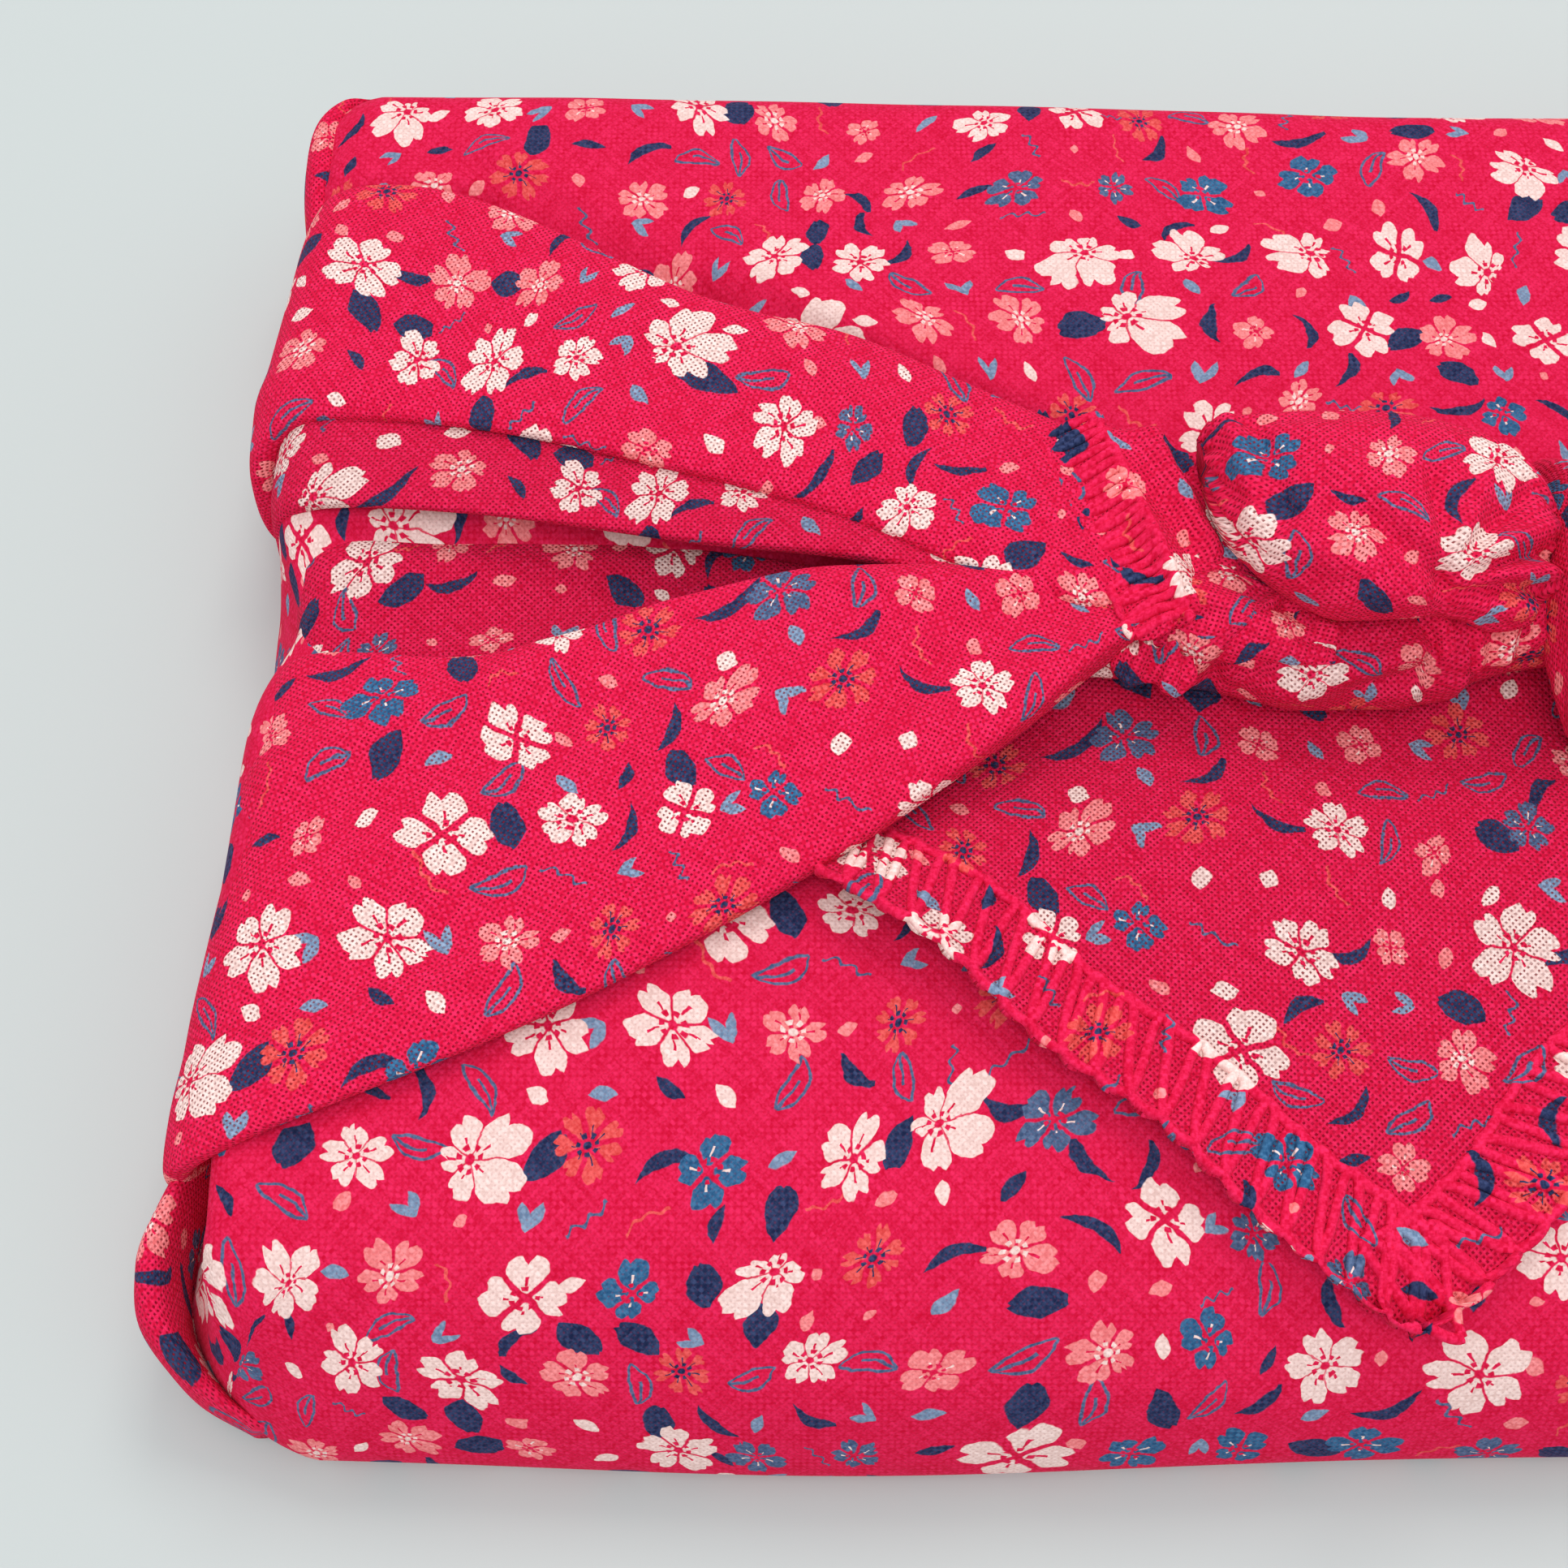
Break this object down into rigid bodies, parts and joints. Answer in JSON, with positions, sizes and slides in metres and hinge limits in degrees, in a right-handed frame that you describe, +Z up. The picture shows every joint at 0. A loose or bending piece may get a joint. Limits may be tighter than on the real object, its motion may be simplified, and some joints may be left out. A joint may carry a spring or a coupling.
{
  "type": "furoshiki wrap",
  "caption": "Square printed cotton cloth wrapped round a slim box, with pleated ends gathered into a knot and a pointed flap on top.",
  "frame": {"origin": "on the surface that the parcel lies on, under the middle of its bounding box", "axes": "+X along the parcel's long side, +Y from the flap's point to the plain far side, +Z up through the knot"},
  "size_m": [0.223, 0.1188, 0.0375],
  "materials": {
    "printed_cotton": "plain-woven cotton with a small printed floral on crimson"
  },
  "bodies": {
    "root": {"furoshiki_cloth": "printed_cotton"}
  },
  "joints": []
}
